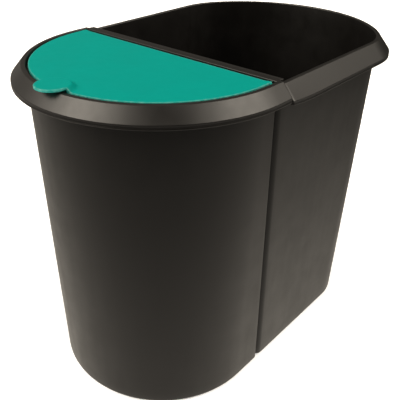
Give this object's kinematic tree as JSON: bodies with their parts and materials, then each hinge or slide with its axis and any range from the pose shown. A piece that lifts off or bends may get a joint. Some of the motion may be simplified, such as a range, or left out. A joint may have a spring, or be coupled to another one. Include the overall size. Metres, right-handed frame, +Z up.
{
  "type": "double recycling bin",
  "caption": "Desk-side recycling bin of an open D-plan tub and a smaller lidded D-plan tub that hooks over its straight rim, with a hinged lid and finger tab.",
  "frame": {"origin": "middle of the base of the bin's bounding box, on the surface that it stands on", "axes": "+Z up; +X along the bin, from the lidded tub to the open tub; +Y across it, along the divider"},
  "size_m": [0.4314, 0.276, 0.3467],
  "materials": {
    "tub_plastic": "fine-grained satin black polypropylene",
    "lid_plastic": "smooth satin teal green polypropylene"
  },
  "bodies": {
    "large_tub": {"large_tub": "tub_plastic"},
    "small_tub": {"small_tub": "tub_plastic"},
    "lid": {"lid": "lid_plastic"}
  },
  "joints": [
    {"name": "small_tub_lift", "type": "slide", "parent": "large_tub", "child": "small_tub", "axis": [-0.0602, 0, 0.9982], "range_m": [0, 0.08]},
    {"name": "lid_hinge", "type": "hinge", "parent": "small_tub", "child": "lid", "pos_m": [-0.07025, 0, 0.3403], "axis": [0, 1, 0], "range_deg": [0, 118]}
  ]
}
